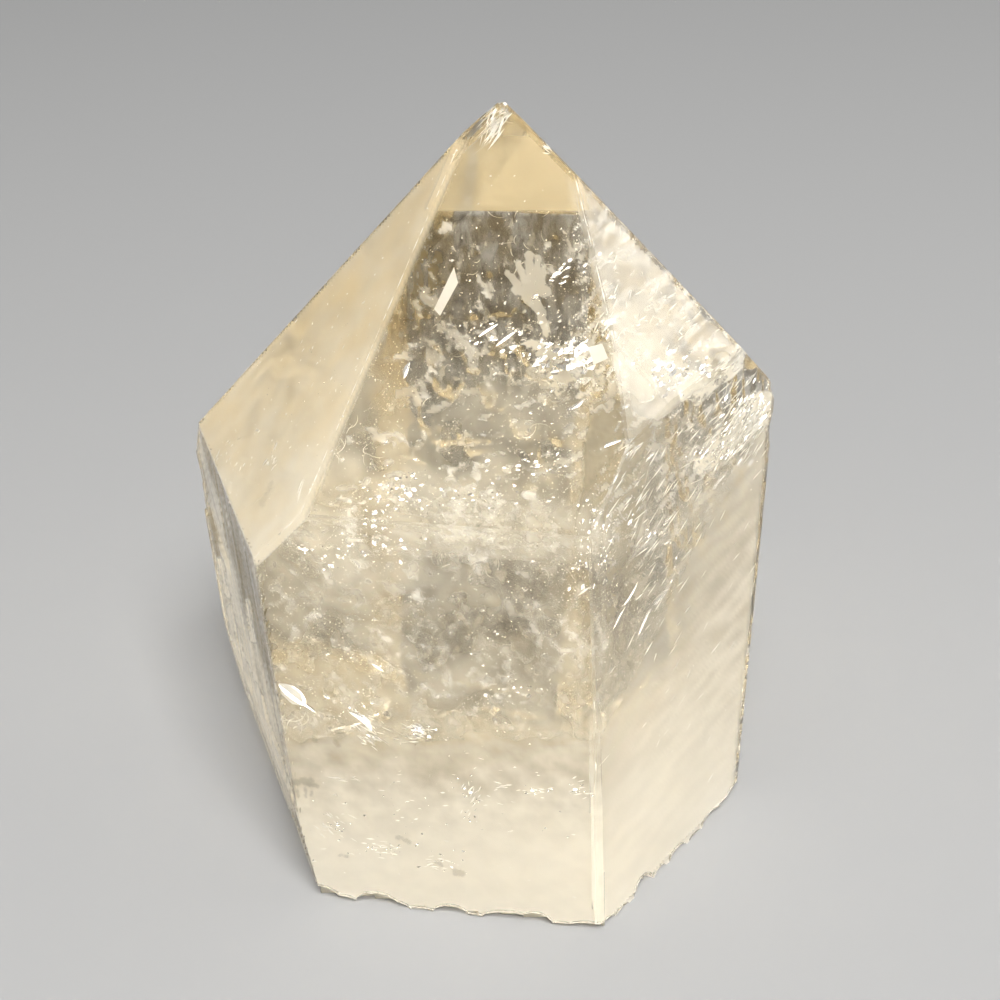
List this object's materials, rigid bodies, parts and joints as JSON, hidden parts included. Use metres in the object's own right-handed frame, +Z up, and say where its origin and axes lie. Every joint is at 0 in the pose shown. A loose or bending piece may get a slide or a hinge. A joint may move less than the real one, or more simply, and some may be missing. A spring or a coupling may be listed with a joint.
{
  "type": "quartz point",
  "caption": "Polished quartz point with a six-sided body, a sloped six-faced tip, a rough back and a flat chipped foot; a free-standing display crystal.",
  "frame": {"origin": "centre of the bounding box, on the flat foot", "axes": "+Z up along the crystal, -Y out of the wide front wall, +X to the right of that wall"},
  "size_m": [0.0644, 0.0686, 0.0855],
  "materials": {
    "quartz": "polished faces with frosted foot, back and chips; pale champagne body with milky veils"
  },
  "bodies": {
    "root": {"crystal": "quartz"}
  },
  "joints": []
}
